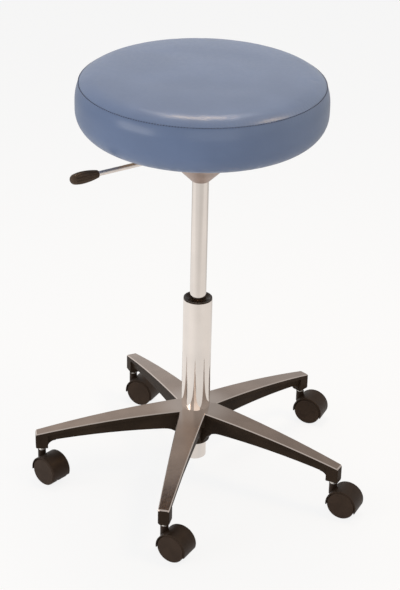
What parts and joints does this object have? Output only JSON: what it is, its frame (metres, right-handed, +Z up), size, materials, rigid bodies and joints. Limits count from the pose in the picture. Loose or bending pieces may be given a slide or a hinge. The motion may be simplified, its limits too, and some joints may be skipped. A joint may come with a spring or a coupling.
{
  "type": "medical exam stool",
  "caption": "Round padded stool on a gas spring column and a star base with hooded twin-wheel casters; a side lever sets its height.",
  "frame": {"origin": "on the floor under the column's axis", "axes": "+Z up along the column, -Y toward the front arm of the base"},
  "size_m": [0.583, 0.545, 0.7544],
  "materials": {
    "polished_casting": "polished top, dark sides",
    "column_chrome": "bright plated",
    "lever_chrome": "bright plated",
    "hub_aluminium": "satin",
    "black_plastic": "satin moulded",
    "grip_plastic": "satin moulded, ribbed",
    "hood_plastic": "satin moulded",
    "wheel_plastic": "satin moulded",
    "stem_steel": "zinc plated",
    "steel": "turned",
    "brass_cage": "stamped",
    "bumper_rubber": "matte",
    "plywood": "bare plywood",
    "foam": "open-cell foam",
    "blue_vinyl": "smooth upholstery vinyl"
  },
  "bodies": {
    "base": {"base_casting": "polished_casting", "column_tube": "column_chrome", "column_bush": "black_plastic", "column_end_plate": "steel", "thrust_race_lower": "steel", "thrust_ball_cage": "brass_cage", "thrust_balls": "steel", "caster_stems": "stem_steel", "stem_grip_rings": "steel"},
    "rod": {"piston_rod": "column_chrome", "gas_piston": "steel", "thrust_race_upper": "steel", "rod_bumper": "bumper_rubber", "rod_washer": "steel", "rod_clip": "steel"},
    "seat": {"pressure_tube": "column_chrome", "gas_rod_guide": "steel", "gas_valve_block": "steel", "seat_hub": "hub_aluminium", "seat_board": "plywood", "seat_screws": "steel", "tee_nuts": "steel", "seat_foam": "foam", "seat_cover": "blue_vinyl", "cover_staples": "steel", "lever_pivot_pin": "steel"},
    "lever": {"lever_rod": "lever_chrome", "lever_grip": "grip_plastic"},
    "valve_pin": {"release_pin": "steel"},
    "caster_1": {"caster_1_housing": "hood_plastic", "caster_1_axle": "steel"},
    "caster_1_near": {"caster_1_near_wheel": "wheel_plastic"},
    "caster_1_far": {"caster_1_far_wheel": "wheel_plastic"},
    "caster_2": {"caster_2_housing": "hood_plastic", "caster_2_axle": "steel"},
    "caster_2_near": {"caster_2_near_wheel": "wheel_plastic"},
    "caster_2_far": {"caster_2_far_wheel": "wheel_plastic"},
    "caster_3": {"caster_3_housing": "hood_plastic", "caster_3_axle": "steel"},
    "caster_3_near": {"caster_3_near_wheel": "wheel_plastic"},
    "caster_3_far": {"caster_3_far_wheel": "wheel_plastic"},
    "caster_4": {"caster_4_housing": "hood_plastic", "caster_4_axle": "steel"},
    "caster_4_near": {"caster_4_near_wheel": "wheel_plastic"},
    "caster_4_far": {"caster_4_far_wheel": "wheel_plastic"},
    "caster_5": {"caster_5_housing": "hood_plastic", "caster_5_axle": "steel"},
    "caster_5_near": {"caster_5_near_wheel": "wheel_plastic"},
    "caster_5_far": {"caster_5_far_wheel": "wheel_plastic"}
  },
  "joints": [
    {"name": "seat_swivel", "type": "hinge", "parent": "base", "child": "rod", "pos_m": [0, 0, 0.05105], "axis": [0, 0, 1], "continuous": true},
    {"name": "seat_lift", "type": "slide", "parent": "rod", "child": "seat", "axis": [0, 0, 1], "range_m": [-0.2, 0]},
    {"name": "lever_lift", "type": "hinge", "parent": "seat", "child": "lever", "pos_m": [-0.01854, -0.01822, 0.61505], "axis": [-0.7009, 0.7133, 0], "range_deg": [0, 6], "stiffness_Nm_per_rad": 7.5},
    {"name": "release_press", "type": "slide", "parent": "seat", "child": "valve_pin", "axis": [0, 0, -1], "range_m": [0, 0.003]},
    {"name": "caster_1_swivel", "type": "hinge", "parent": "base", "child": "caster_1", "pos_m": [0, -0.271, 0.061], "axis": [0, 0, 1], "continuous": true},
    {"name": "caster_1_near_spin", "type": "hinge", "parent": "caster_1", "child": "caster_1_near", "pos_m": [0.0208, -0.27816, 0.025], "axis": [0.3256, 0.9455, 0], "continuous": true},
    {"name": "caster_1_far_spin", "type": "hinge", "parent": "caster_1", "child": "caster_1_far", "pos_m": [0.0208, -0.27816, 0.025], "axis": [0.3256, 0.9455, 0], "continuous": true},
    {"name": "caster_2_swivel", "type": "hinge", "parent": "base", "child": "caster_2", "pos_m": [0.25774, -0.08374, 0.061], "axis": [0, 0, 1], "continuous": true},
    {"name": "caster_2_near_spin", "type": "hinge", "parent": "caster_2", "child": "caster_2_near", "pos_m": [0.27899, -0.08944, 0.025], "axis": [0.2588, 0.9659, 0], "continuous": true},
    {"name": "caster_2_far_spin", "type": "hinge", "parent": "caster_2", "child": "caster_2_far", "pos_m": [0.27899, -0.08944, 0.025], "axis": [0.2588, 0.9659, 0], "continuous": true},
    {"name": "caster_3_swivel", "type": "hinge", "parent": "base", "child": "caster_3", "pos_m": [0.15929, 0.21924, 0.061], "axis": [0, 0, 1], "continuous": true},
    {"name": "caster_3_near_spin", "type": "hinge", "parent": "caster_3", "child": "caster_3_near", "pos_m": [0.18073, 0.2143, 0.025], "axis": [0.225, 0.9744, 0], "continuous": true},
    {"name": "caster_3_far_spin", "type": "hinge", "parent": "caster_3", "child": "caster_3_far", "pos_m": [0.18073, 0.2143, 0.025], "axis": [0.225, 0.9744, 0], "continuous": true},
    {"name": "caster_4_swivel", "type": "hinge", "parent": "base", "child": "caster_4", "pos_m": [-0.15929, 0.21924, 0.061], "axis": [0, 0, 1], "continuous": true},
    {"name": "caster_4_near_spin", "type": "hinge", "parent": "caster_4", "child": "caster_4_near", "pos_m": [-0.13825, 0.21281, 0.025], "axis": [0.2924, 0.9563, 0], "continuous": true},
    {"name": "caster_4_far_spin", "type": "hinge", "parent": "caster_4", "child": "caster_4_far", "pos_m": [-0.13825, 0.21281, 0.025], "axis": [0.2924, 0.9563, 0], "continuous": true},
    {"name": "caster_5_swivel", "type": "hinge", "parent": "base", "child": "caster_5", "pos_m": [-0.25774, -0.08374, 0.061], "axis": [0, 0, 1], "continuous": true},
    {"name": "caster_5_near_spin", "type": "hinge", "parent": "caster_5", "child": "caster_5_near", "pos_m": [-0.23888, -0.09507, 0.025], "axis": [0.515, 0.8572, 0], "continuous": true},
    {"name": "caster_5_far_spin", "type": "hinge", "parent": "caster_5", "child": "caster_5_far", "pos_m": [-0.23888, -0.09507, 0.025], "axis": [0.515, 0.8572, 0], "continuous": true}
  ],
  "couplings": [
    {"joint": "release_press", "follows": "lever_lift", "m_per_rad": 0.026}
  ]
}
